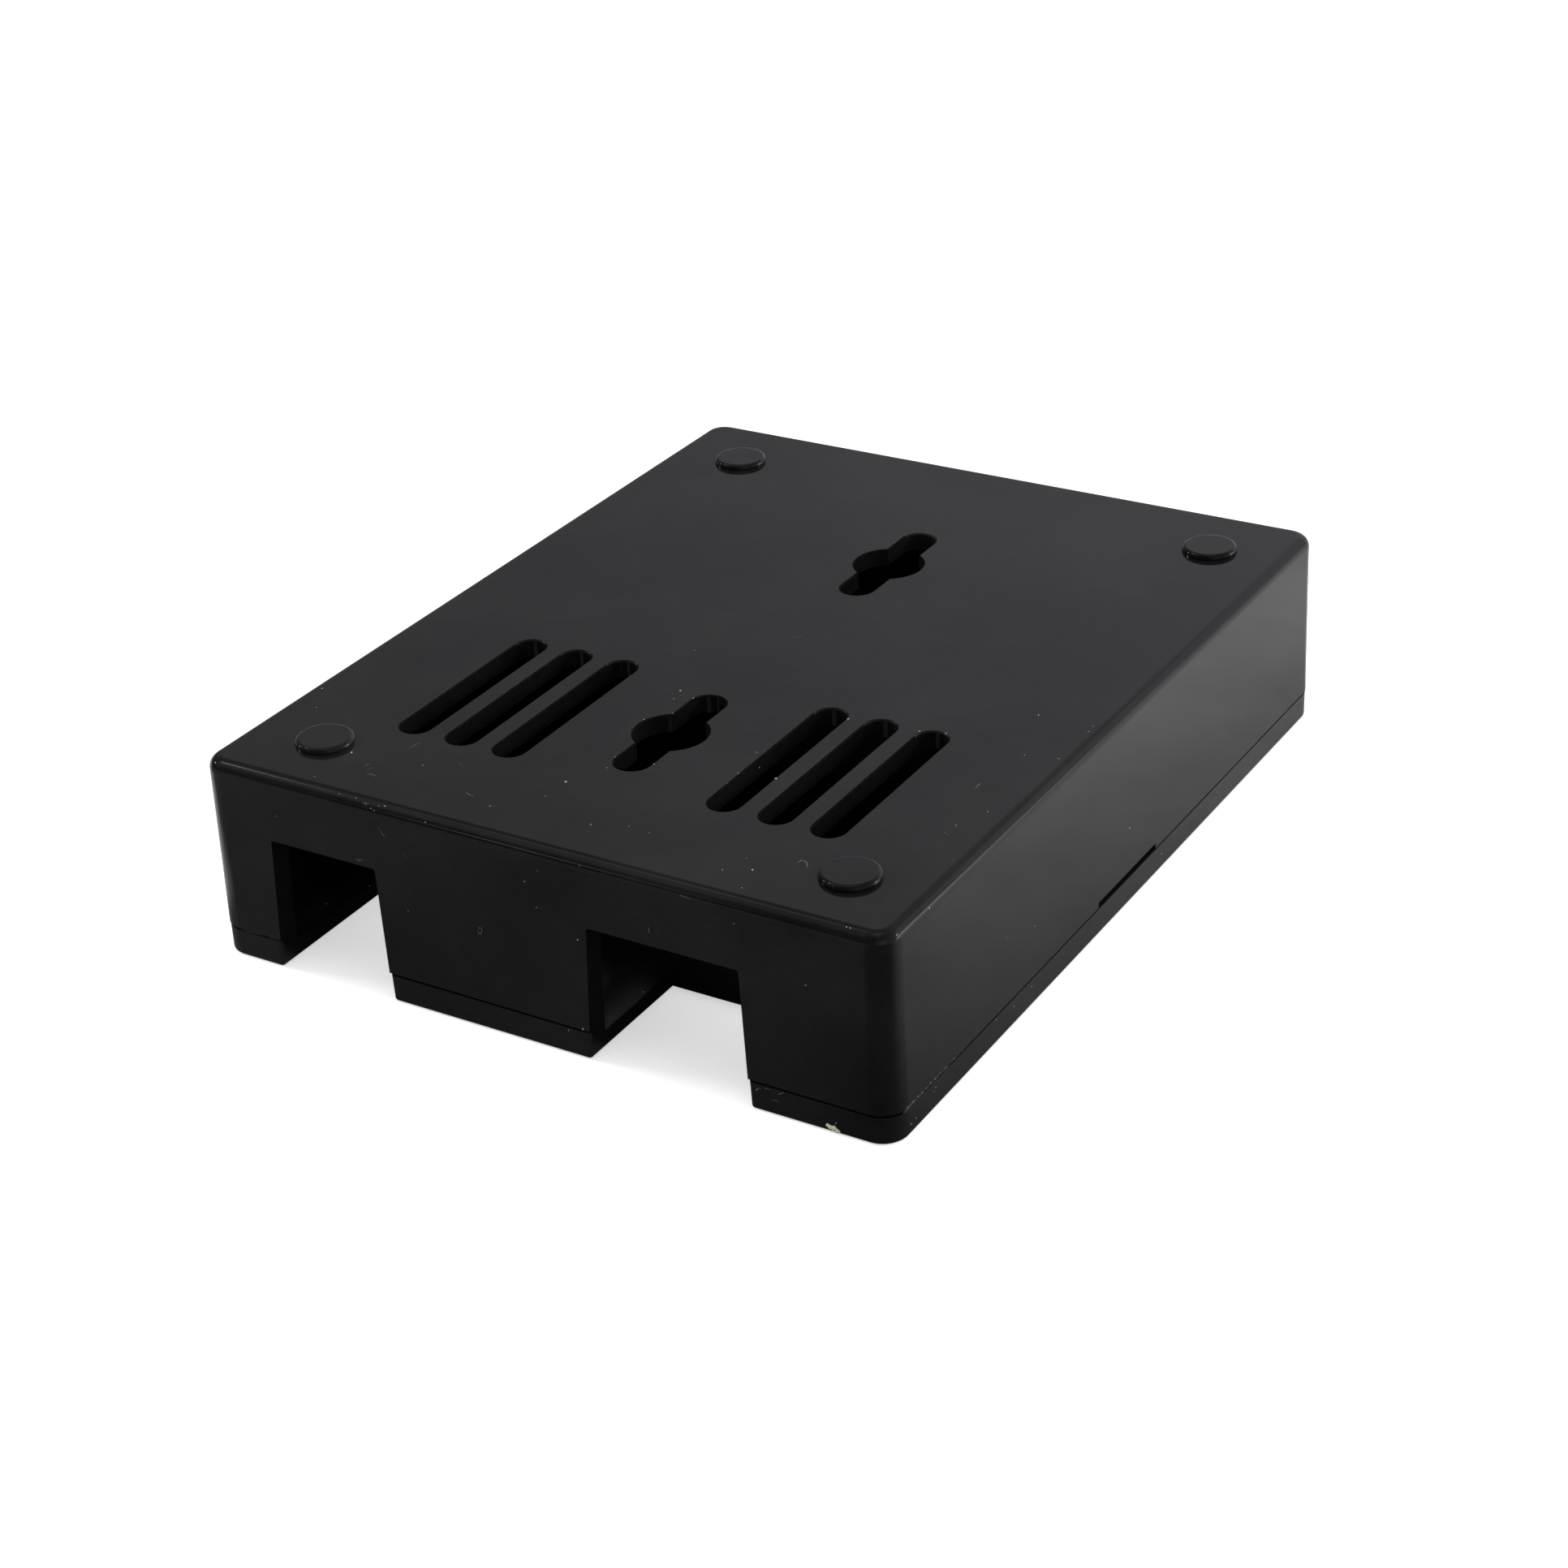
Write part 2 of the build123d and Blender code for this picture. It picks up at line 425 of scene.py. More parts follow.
@dataclass(frozen=True)
class GlossBlackPlastic:
    """Gloss black moulded plastic with the dust and hairlines of a handled case.

    Spacings are cells in a metre, and a share is how many cells have a mark. A speck's size is in cells.
    """

    name: str
    hole_edges: HoleEdges | None = None
    colour: Colour = (0.0033, 0.0033, 0.0036)
    film_colour: Colour = (0.0092, 0.0092, 0.0094)
    soil_colour: Colour = (0.28, 0.27, 0.25)
    # Painted shade: the darker colour that the hole edges' mask gives them.
    edge_shade_colour: Colour = (0.0012, 0.0012, 0.0013)
    roughness: float = 0.09
    haze_roughness: float = 0.12
    soil_roughness: float = 0.5
    edge_roughness: float = 0.9
    refraction: float = 1.5
    specular: float = 0.5
    waviness: float = 1.0
    wave_height: float = 0.004 * MM
    speck_spacing: float = 700.0
    speck_share: float = 0.06
    speck_size: float = 0.09
    hairline_spacing: float = 160.0
    hairline_share: float = 0.2
    hairline_strength: float = 0.07

    def build(self, effects: SurfaceEffects) -> bpy.types.Material:
        """Builds the material.

        Args:
            effects: The shared shader groups.

        Returns:
            The material.
        """
        material, graph = new_material(self.name)
        where = graph.coordinates()
        shader = graph.add("ShaderNodeBsdfPrincipled")
        shader.inputs["IOR"].default_value = self.refraction
        shader.inputs["Specular IOR Level"].default_value = self.specular

        haze = graph.group(effects.haze, Where=where, Amount=1.0)
        specks = graph.group(
            effects.dust, Where=where, Spacing=self.speck_spacing, Share=self.speck_share, Size=self.speck_size
        )
        lines = graph.group(effects.hairlines, Where=where, Spacing=self.hairline_spacing, Share=self.hairline_share)
        soiled = graph.math("MAXIMUM", specks, graph.math("MULTIPLY", lines, self.hairline_strength))
        film = graph.group(effects.film, Where=where, Amount=1.0)
        tint = graph.mix_colours(soiled, graph.mix_colours(film, self.colour, self.film_colour), self.soil_colour)

        clean = graph.ramp(haze, 0.0, 1.0, self.roughness, self.roughness + self.haze_roughness, smooth=False)
        worn = graph.math("MULTIPLY_ADD", soiled, self.soil_roughness, clean)
        if self.hole_edges:
            dull = self.hole_edges.build(graph, where)
            worn = graph.math("MULTIPLY_ADD", dull, self.edge_roughness, worn, clamp=True)
            # Painted shade: the mask darkens the hole edges' colour as well as roughening them.
            tint = graph.mix_colours(dull, tint, self.edge_shade_colour)
        graph.feed(shader.inputs["Base Color"], tint)
        graph.feed(shader.inputs["Roughness"], worn)

        bump = graph.add("ShaderNodeBump")
        bump.inputs["Strength"].default_value = 1.0
        bump.inputs["Distance"].default_value = self.wave_height
        graph.feed(bump.inputs["Height"], graph.group(effects.skin, Where=where, Waviness=self.waviness))
        graph.feed(shader.inputs["Normal"], bump.outputs[0])
        graph.put_out(shader)
        return material


@dataclass(frozen=True)
class DullDust:
    """Dust, lint, crumbs and the bright lips of fine scratches: dull, and uneven in colour."""

    name: str = "pale_dust"
    colour: Colour = (0.5, 0.5, 0.48)
    shade: Colour = (0.24, 0.24, 0.23)
    specular: float = 0.2
    shading: tuple[float, float] = (0.35, 0.6)
    roughening: Ramp = (0.3, 0.7, 0.75, 0.95)

    def build(self) -> bpy.types.Material:
        """Builds the material."""
        material, graph = new_material(self.name)
        shader = graph.add("ShaderNodeBsdfPrincipled")
        shader.inputs["Specular IOR Level"].default_value = self.specular
        fluff = graph.noise(graph.coordinates(), scale=9000.0)
        tint = graph.mix_colours(graph.ramp(fluff, *self.shading), self.shade, self.colour)
        graph.feed(shader.inputs["Base Color"], tint)
        graph.feed(shader.inputs["Roughness"], graph.ramp(fluff, *self.roughening))
        graph.put_out(shader)
        return material


class Face(Enum):
    """Outer faces of the case that dust and marks lie on."""

    TOP = "top"
    FRONT = "front"
    RIGHT = "right"
    FRONT_EDGE = "front_edge"


Speck = tuple[float, float, float]
Fibre = tuple[float, tuple[tuple[float, float], ...]]


def join_rings(form: bmesh.types.BMesh, rings: list[list[bmesh.types.BMVert]]) -> None:
    """Joins rings of points into one closed form.

    Args:
        form: The mesh that they are in.
        rings: The rings, from one end to the other.
    """
    for low, high in zip(rings, rings[1:]):
        for n in range(len(low)):
            m = (n + 1) % len(low)
            form.faces.new((low[n], low[m], high[m], high[n]))
    form.faces.new(rings[-1])
    form.faces.new(list(reversed(rings[0])))


@dataclass
class SettledDust:
    """Specks and short fibres on one moving part of the case.

    Places are in millimetres on a face: x and y on the top, x and z on the front, y and z on the right side, and x and
    the angle round the bend on the front edge. A speck has its diameter, and a fibre its thickness. A flake's rings
    have their width and height as shares of its diameter, and a fibre's corners are in half thicknesses.
    """

    name: str
    body: str
    specks: dict[Face, tuple[Speck, ...]]
    fibres: dict[Face, tuple[Fibre, ...]]
    seed: int = 7
    top_z: float = 17.1
    parting_z: float = 2.5
    draft: float = 0.7
    edge_radius: float = 1.0
    lid_inset: float = 0.05
    sides: int = 9
    unevenness: tuple[float, float] = (0.7, 1.2)
    flake_rings: tuple[tuple[float, float], ...] = ((1.0, -0.06), (0.9, 0.1), (0.5, 0.22))
    fibre_corners: tuple[tuple[float, float], ...] = ((-1.0, -0.3), (1.0, -0.3), (0.6, 0.7), (-0.6, 0.7))
    fibre_taper: float = 0.35

    def frame_at(self, face: Face, u: float, v: float) -> Matrix:
        """Gives the place and the directions at a point of a face, with the third axis outwards.

        Args:
            face: The face.
            u: The first coordinate on it.
            v: The second coordinate on it.

        Returns:
            A matrix in metres.
        """
        lean = math.tan(math.radians(self.draft))
        if face is Face.TOP:
            spot, first, out = (u, v, self.top_z), Vector((1, 0, 0)), Vector((0, 0, 1))
        elif face is Face.FRONT_EDGE:
            turn = math.radians(v)
            rise = self.top_z - self.edge_radius
            back = -HALF_LENGTH + (rise - self.parting_z) * lean + self.edge_radius
            out = Vector((0, -math.sin(turn), math.cos(turn)))
            spot, first = Vector((u, back, rise)) + out * self.edge_radius, Vector((1, 0, 0))
        else:
            inward = (v - self.parting_z) * lean if v > self.parting_z else self.lid_inset
            tilt = lean if v > self.parting_z else 0.0
            if face is Face.FRONT:
                spot, first, out = (u, -HALF_LENGTH + inward, v), Vector((1, 0, 0)), Vector((0, -1, tilt))
            else:
                spot, first, out = (HALF_WIDTH - inward, u, v), Vector((0, 1, 0)), Vector((1, 0, tilt))
        out = out.normalized()
        matrix = Matrix((first, out.cross(first), out)).transposed().to_4x4()
        matrix.translation = Vector(spot) * MM
        return matrix

    def add_speck(self, form: bmesh.types.BMesh, at: Matrix, size: float, chance: random.Random) -> None:
        """Adds one uneven flake that lies on the surface.

        Args:
            form: The mesh that it goes into.
            at: Its place and directions.
            size: Its diameter in millimetres.
            chance: The source of its unevenness.
        """
        rings = []
        wobble = [chance.uniform(*self.unevenness) for _ in range(self.sides)]
        for share, height in self.flake_rings:
            ring = []
            for n, uneven in enumerate(wobble):
                angle = math.tau * n / self.sides
                reach = 0.5 * size * share * uneven * MM
                point = Vector((reach * math.cos(angle), reach * math.sin(angle), height * size * MM))
                ring.append(form.verts.new(at @ point))
            rings.append(ring)
        join_rings(form, rings)

    def add_fibre(self, form: bmesh.types.BMesh, face: Face, fibre: Fibre) -> None:
        """Adds one thin fibre that follows points of a face and tapers at its ends.

        Args:
            form: The mesh that it goes into.
            face: The face that it lies on.
            fibre: Its thickness in millimetres, and the points of the face that it follows.
        """
        thickness, points = fibre
        places = [self.frame_at(face, u, v) for u, v in points]
        rings = []
        for n, place in enumerate(places):
            before, after = places[max(n - 1, 0)], places[min(n + 1, len(places) - 1)]
            along = (after.translation - before.translation).normalized()
            out = place.to_3x3().col[2]
            across = out.cross(along).normalized()
            taper = self.fibre_taper if n in (0, len(places) - 1) else 1.0
            half = 0.5 * thickness * taper * MM
            rings.append(
                [form.verts.new(place.translation + half * (a * across + b * out)) for a, b in self.fibre_corners]
            )
        join_rings(form, rings)

    def build(self, flake: bpy.types.Material, lint: bpy.types.Material) -> bpy.types.Object:
        """Builds the specks and fibres as one piece that moves with its part.

        Args:
            flake: The specks' material.
            lint: The fibres' material.

        Returns:
            The piece.
        """
        chance = random.Random(self.seed)
        form = bmesh.new()
        for face, places in self.specks.items():
            for u, v, size in places:
                self.add_speck(form, self.frame_at(face, u, v), size, chance)
        flakes = len(form.faces)
        for face, strands in self.fibres.items():
            for fibre in strands:
                self.add_fibre(form, face, fibre)
        form.faces.ensure_lookup_table()
        for strand in form.faces[flakes:]:
            strand.material_index = 1
        bmesh.ops.recalc_face_normals(form, faces=form.faces)
        mesh = bpy.data.meshes.new(self.name)
        form.to_mesh(mesh)
        form.free()
        for material in (flake, lint):
            mesh.materials.append(material)
        piece = bpy.data.objects.new(self.name, mesh)
        bpy.context.scene.collection.objects.link(piece)
        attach(piece, self.body)
        return piece


SHELL_SPECKS: dict[Face, tuple[Speck, ...]] = {
    Face.TOP: (
        (-2.43, -28.47, 0.24), (16.95, -33.53, 0.19), (-19.98, -31.83, 0.19), (-13.76, -31.07, 0.1),
        (-5.38, -34.05, 0.11), (-2.54, -30.99, 0.09), (-20.09, -36.18, 0.09), (2.93, -33.1, 0.1), (5.58, -32.07, 0.08),
        (7.44, -32.23, 0.09), (15.04, -34.48, 0.1), (17.59, -36.0, 0.1), (11.47, -21.1, 0.19), (28.9, -9.1, 0.12),
        (26.36, -9.69, 0.12), (26.8, -21.46, 0.1), (27.91, -18.66, 0.1), (24.36, -3.37, 0.12), (17.43, -9.72, 0.13),
        (19.4, -9.18, 0.12), (-28.94, -24.04, 0.12), (-27.22, -26.92, 0.1), (-2.53, -13.29, 0.1), (-1.2, -12.5, 0.11),
        (-1.26, -15.39, 0.09), (-2.7, -17.3, 0.08), (-1.28, -23.5, 0.09), (2.01, -23.16, 0.1), (8.5, -21.6, 0.1),
        (-0.88, -25.22, 0.07), (7.99, -18.14, 0.08), (29.0, -4.19, 0.09), (28.9, -3.27, 0.08),
    ),
    Face.FRONT_EDGE: (
        (-16.92, 31.8, 0.06), (-15.34, 29.6, 0.06), (-14.25, 49.8, 0.06), (-13.75, 57.8, 0.08), (-13.42, 64.3, 0.07),
        (-13.13, 38.7, 0.07), (-12.66, 32.1, 0.1), (-8.75, 54.9, 0.09), (4.98, 65.4, 0.06), (26.7, 24.8, 0.1),
        (27.0, 24.8, 0.1),
    ),
    Face.FRONT: (
        (-23.04, 13.76, 0.08), (0.89, 12.07, 0.06), (1.25, 15.21, 0.06), (17.91, 15.24, 0.09), (23.59, 11.81, 0.12),
        (-11.12, 8.63, 0.08), (4.2, 2.6, 0.14),
    ),
    Face.RIGHT: (
        (0.38, 6.8, 0.14), (-16.07, 6.69, 0.07), (-35.2, 2.6, 0.11), (-34.5, 2.62, 0.09), (-33.9, 2.6, 0.11),
        (-33.3, 2.58, 0.08), (-32.6, 2.62, 0.1), (-32.0, 2.6, 0.1), (-31.2, 2.6, 0.08), (-30.4, 2.62, 0.08),
        (-36.0, 2.59, 0.1), (-29.1, 2.6, 0.07), (-27.8, 2.58, 0.06),
    ),
}
SHELL_FIBRES: dict[Face, tuple[Fibre, ...]] = {
    Face.TOP: (
        (0.068, ((19.31, -31.21), (19.36, -30.84), (19.68, -30.81), (20.02, -31.05), (20.23, -31.53))),
        (0.053, ((-8.25, -33.09), (-7.8, -33.36), (-7.39, -33.3))),
        (0.053, ((-17.72, -33.15), (-17.7, -32.77), (-17.43, -32.72))),
        (0.053, ((-17.23, -33.49), (-17.0, -33.08))),
        (0.060, ((-16.73, -34.04), (-16.41, -33.95), (-15.94, -34.08))),
        (0.045, ((-16.4, -29.27), (-16.32, -28.86), (-16.33, -28.43))),
        (0.038, ((-16.27, -28.62), (-16.17, -28.12))),
        (0.060, ((25.46, -15.88), (25.44, -15.33), (25.46, -15.11))),
        (0.053, ((26.45, -22.72), (26.94, -22.95))),
        (0.038, ((28.85, -26.17), (29.02, -25.76))),
        (0.038, ((-11.47, -29.52), (-10.88, -29.81))),
    ),
    Face.FRONT_EDGE: (
        (0.045, ((-14.62, 50.9), (-14.41, 42.0), (-14.03, 42.0))),
        (0.038, ((13.53, 74.7), (14.34, 79.0))),
    ),
    Face.FRONT: (
        (0.038, ((-13.09, 15.22), (-12.87, 14.86), (-12.58, 14.49))),
        (0.045, ((-15.67, 11.94), (-15.37, 11.88), (-14.88, 12.11))),
        (0.038, ((-15.46, 11.82), (-15.07, 11.85))),
        (0.038, ((-10.99, 13.57), (-10.66, 13.21))),
        (0.038, ((-4.66, 8.84), (-4.39, 8.95), (-4.3, 8.69), (-4.45, 8.38), (-4.67, 8.39), (-4.68, 8.66))),
        (0.038, ((10.64, 13.03), (10.72, 12.79), (10.63, 12.5))),
    ),
    Face.RIGHT: (
        (0.05, ((-36.3, 2.56), (-35.6, 2.6), (-34.9, 2.58))),
        (0.045, ((-34.4, 2.57), (-33.7, 2.6))),
        (0.045, ((-33.3, 2.57), (-32.5, 2.58))),
        (0.04, ((-31.9, 2.58), (-31.4, 2.57))),
        (0.04, ((-30.9, 2.58), (-30.1, 2.57))),
        (0.035, ((-29.4, 2.58), (-28.8, 2.57))),
        (0.045, ((-20.62, 8.03), (-20.23, 8.06))),
        (0.038, ((-20.87, 8.3), (-20.37, 7.96))),
    ),
}
# Dust fibres along the seam's mouth. Their material is far darker than the other dust, which paints the seam's shade
# on them.
SEAM_FIBRES: dict[Face, tuple[Fibre, ...]] = {
    Face.RIGHT: (
        (0.13, ((-36.6, 2.42), (-36.2, 2.41), (-35.1, 2.43), (-34.0, 2.41), (-32.8, 2.43))),
        (0.12, ((-32.7, 2.42), (-31.9, 2.41), (-31.2, 2.43))),
        (0.1, ((-30.9, 2.42), (-30.2, 2.41), (-29.6, 2.42))),
        (0.07, ((-28.9, 2.42), (-28.1, 2.41))),
    ),
    Face.FRONT: (
        (0.1, ((-28.2, 2.42), (-27.4, 2.41), (-26.6, 2.43), (-25.9, 2.42))),
        (0.08, ((-25.6, 2.42), (-24.9, 2.41), (-24.2, 2.42))),
    ),
}
LID_SPECKS: dict[Face, tuple[Speck, ...]] = {
    Face.FRONT: ((2.84, 2.06, 0.1), (19.1, 1.78, 0.1), (25.6, 0.9, 0.1)),
    Face.RIGHT: (
        (-22.46, 2.11, 0.09), (-35.48, 0.86, 0.1), (-34.76, 0.9, 0.08), (-32.05, 1.55, 0.08), (-31.8, 1.74, 0.1),
        (-16.66, 1.71, 0.11), (-19.6, 1.65, 0.08), (6.48, 1.35, 0.16),
    ),
}
LID_CRUMBS: dict[Face, tuple[Speck, ...]] = {
    Face.FRONT: ((24.95, 0.5, 0.34), (25.15, 0.42, 0.46), (25.4, 0.4, 0.5), (25.65, 0.3, 0.42), (25.8, 0.22, 0.3)),
}
LID_FIBRES: dict[Face, tuple[Fibre, ...]] = {
    Face.FRONT: (
        (0.07, ((19.11, 1.92), (19.45, 1.92))),
        (0.08, ((19.8, 2.09), (20.2, 2.11))),
        (0.08, ((20.87, 1.9), (21.36, 2.2))),
        (0.06, ((20.37, 1.26), (20.84, 1.31))),
    ),
}


@dataclass
class CaseShell:
    """The base shell: its CAD mesh with the moulded finish, and with the notches' lower corners left square.

    The CAD rounds those corners too, which leaves thin slivers at the seam that the real shell doesn't have. Lengths
    are in millimetres. A flank has its x at the height where the rounding starts, and the way that it leans below it.
    """

    node: str = "base_shell"
    flanks: tuple[tuple[float, int], ...] = ((-24.199, -1), (-13.601, 1), (4.801, -1), (18.399, 1))
    rounding_z: float = 2.76
    rounding_reach: float = 0.26
    wall_inside_y: float = -35.9
    notch_draft: float = 2.3
    slack: float = 0.01
    shortest_edge: float = 0.0005

    def square_corners(self, mesh: bpy.types.Mesh) -> None:
        """Moves the rounded lower corners of the notches back to the flanks' straight lines.

        Args:
            mesh: The shell's mesh.
        """
        form = bmesh.new()
        form.from_mesh(mesh)
        lean = math.tan(math.radians(self.notch_draft))
        moved = set()
        for vert in form.verts:
            x, y, z = vert.co / MM
            if y > self.wall_inside_y or z > self.rounding_z - self.slack:
                continue
            for flank, away in self.flanks:
                if -self.slack < (flank - x) * away < self.rounding_reach:
                    vert.co.x = (flank + away * (self.rounding_z - z) * lean) * MM
                    moved.add(vert)
        edges = [edge for edge in form.edges if edge.verts[0] in moved or edge.verts[1] in moved]
        bmesh.ops.dissolve_degenerate(form, dist=self.shortest_edge * MM, edges=edges)
        form.to_mesh(mesh)
        form.free()

    def dress(self, effects: SurfaceEffects) -> bpy.types.Object:
        """Builds the shell that stands for the CAD node and gives it its plastic.

        Args:
            effects: The shared shader groups.

        Returns:
            The shell's object.
        """
        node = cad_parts[self.node]
        shell = bpy.data.objects.new("shell_moulding", node.data.copy())
        bpy.context.scene.collection.objects.link(shell)
        self.square_corners(shell.data)
        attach(shell, self.node)
        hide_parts(self.node)
        plastic = GlossBlackPlastic("shell_gloss_black", hole_edges=HoleEdges()).build(effects)
        for slot in shell.material_slots:
            slot.material = plastic
        return shell


@dataclass
class CaseLid:
    """The thin lid that the case lies on: the CAD node with its moulded finish."""

    node: str = "lid"

    def dress(self, effects: SurfaceEffects) -> bpy.types.Object:
        """Gives the lid its plastic.

        Args:
            effects: The shared shader groups.

        Returns:
            The lid's object.
        """
        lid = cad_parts[self.node]
        plastic = GlossBlackPlastic("lid_gloss_black", roughness=0.12).build(effects)
        for slot in lid.material_slots:
            slot.material = plastic
        return lid


@dataclass(frozen=True)
class Viewpoint:
    """Where the photograph was taken from, in metres, and its lens in millimetres."""

    place: tuple[float, float, float] = (0.12135, -0.195427, 0.127705)
    forward: tuple[float, float, float] = (-0.467267, 0.745977, -0.474532)
    right: tuple[float, float, float] = (0.858951, 0.510184, -0.043778)
    lens: float = 72.21
    sensor: float = 36.0
    nearest: float = 0.01
    farthest: float = 50.0

    def build(self) -> bpy.types.Object:
        """Builds the camera and makes it the scene's own."""
        data = bpy.data.cameras.new("viewpoint")
        data.sensor_width = self.sensor
        data.lens = self.lens
        data.clip_start = self.nearest
        data.clip_end = self.farthest
        camera = bpy.data.objects.new("viewpoint", data)
        bpy.context.scene.collection.objects.link(camera)
        ahead = Vector(self.forward).normalized()
        side = (Vector(self.right) - Vector(self.right).dot(ahead) * ahead).normalized()
        up = side.cross(ahead)
        turn = Matrix((side, up, -ahead)).transposed().to_4x4()
        camera.matrix_world = Matrix.Translation(Vector(self.place)) @ turn
        bpy.context.scene.camera = camera
        return camera


def aim(azimuth: float, elevation: float, reach: float = 1.0) -> tuple[float, float, float]:
    """Gives the point at an azimuth from +X and an elevation, in degrees, at a distance."""
    a, e = math.radians(azimuth), math.radians(elevation)
    return (reach * math.cos(a) * math.cos(e), reach * math.sin(a) * math.cos(e), reach * math.sin(e))


def show_only_in_gloss(obj: bpy.types.Object) -> None:
    """Lets nothing but reflections see an object."""
    for ray in Ray:
        setattr(obj, ray.value, ray is Ray.GLOSSY)


def lay_sheet(name: str, reach: float, height: float) -> bpy.types.Object:
    """Lays a level square sheet.

    Args:
        name: The sheet's name.
        reach: Half its side.
        height: Its height, in metres.

    Returns:
        The sheet, marked as stage.
    """
    mesh = bpy.data.meshes.new(name)
    corners = [(sx * reach, sy * reach, height) for sx, sy in ((-1, -1), (1, -1), (1, 1), (-1, 1))]
    mesh.from_pydata(corners, [], [(0, 1, 2, 3)])
    obj = bpy.data.objects.new(name, mesh)
    bpy.context.scene.collection.objects.link(obj)
    return obj


@dataclass(frozen=True)
class TableCard:
    """The dark card on the floor that the case's walls reflect, and that nothing else sees.

    A ramp has the places in metres where it starts and ends, and its values there. The card is brighter towards the
    back and away from the case, black under it, paler on the left and darker at the near right corner. This is painted
    light and shade: the case's shadow and the floor's shading, which the walls show as painted reflection.
    """

    reach: float = 3.0
    height: float = -0.01 * MM
    slope: float = 6.0
    middle: float = 0.36
    least: float = 0.09
    most: float = 0.56
    # Painted shadow and light: the contact, under, near, right and beside values paint the case's shadow and the
    # floor's shading.
    contact_slope: float = 35.0
    contact_start: float = 0.8
    contact_most: float = 1.3
    left: Ramp = (-12.0 * MM, -32.0 * MM, 1.0, 1.5)
    right: Ramp = (12.0 * MM, 28.0 * MM, 0.0, 1.0)
    near: Ramp = (-42.0 * MM, -30.0 * MM, 0.75, 0.0)
    under: Ramp = (-3.0 * MM, 0.0, 0.03, 1.0)
    beside_x: Ramp = (-35.0 * MM, -41.0 * MM, 0.0, 1.0)
    beside_y: Ramp = (-48.0 * MM, -41.0 * MM, 0.0, 1.0)
    beside_strength: float = 0.45
    spots: Ramp = (0.3, 0.7, 0.88, 1.1)

    def strength(self, graph: Graph) -> bpy.types.NodeSocket:
        """Gives how bright each place of the card is.

        Args:
            graph: The card's graph.

        Returns:
            The brightness.
        """
        where = graph.coordinates()
        x, y, _ = graph.split("ShaderNodeSeparateXYZ", where)
        depth = graph.math("MULTIPLY_ADD", y, self.slope, self.middle)
        depth = graph.math("MINIMUM", graph.math("MAXIMUM", depth, self.least), self.most)
        side_x = graph.math("SUBTRACT", graph.math("ABSOLUTE", x), HALF_WIDTH * MM)
        side_y = graph.math("SUBTRACT", graph.math("ABSOLUTE", y), HALF_LENGTH * MM)
        squares = [graph.math("POWER", graph.math("MAXIMUM", side, 0.0), 2.0) for side in (side_x, side_y)]
        away = graph.math("SQRT", graph.math("ADD", *squares))
        # Painted shadow: darker near the case and black beneath it, with painted shade at the near right corner and a
        # painted patch of light beside the left wall.
        contact_shadow = graph.math("MULTIPLY_ADD", away, self.contact_slope, self.contact_start)
        contact_shadow = graph.math("MINIMUM", contact_shadow, self.contact_most)
        dark = graph.math("MULTIPLY", graph.ramp(x, *self.right), graph.ramp(y, *self.near))
        under = graph.ramp(graph.math("MAXIMUM", side_x, side_y), *self.under)
        shaded = graph.math("MULTIPLY", graph.ramp(x, *self.left), under)
        total = graph.math("MULTIPLY", graph.math("MULTIPLY", depth, contact_shadow), shaded)
        total = graph.math("MULTIPLY", total, graph.math("SUBTRACT", 1.0, dark))
        beside = graph.math("MULTIPLY", graph.ramp(x, *self.beside_x), graph.ramp(y, *self.beside_y))
        total = graph.math("MULTIPLY_ADD", beside, self.beside_strength, total)
        spots = graph.noise(where, scale=75.0, detail=4.0, roughness=0.6)
        return graph.math("MULTIPLY", total, graph.ramp(spots, *self.spots, smooth=False))

    def build(self) -> None:
        """Builds the card."""
        card = lay_sheet("table_card", self.reach, self.height)
        material, graph = new_material("table_card")
        graph.put_out(graph.glow(WHITE, self.strength(graph)))
        card.data.materials.append(material)
        show_only_in_gloss(card)


@dataclass(frozen=True)
class Glow:
    """A soft round glow on the tent.

    Its azimuth from +X, its elevation and its spread, at which it has fallen to about a third, are in degrees. Its
    strength is in the middle.
    """

    azimuth: float
    elevation: float
    spread: float
    strength: float

    def build(self, graph: Graph, way: bpy.types.NodeSocket) -> bpy.types.NodeSocket:
        """Adds the glow.

        Args:
            graph: The tent's graph.
            way: The direction from the table.

        Returns:
            The glow's strength in each direction.
        """
        cosine = graph.vector("DOT_PRODUCT", way, aim(self.azimuth, self.elevation)).outputs["Value"]
        angle = graph.math("DIVIDE", graph.math("ARCCOSINE", cosine), math.radians(self.spread))
        fallen = graph.math("EXPONENT", graph.math("MULTIPLY", graph.math("POWER", angle, 2.0), -1.0))
        return graph.math("MULTIPLY", fallen, self.strength)


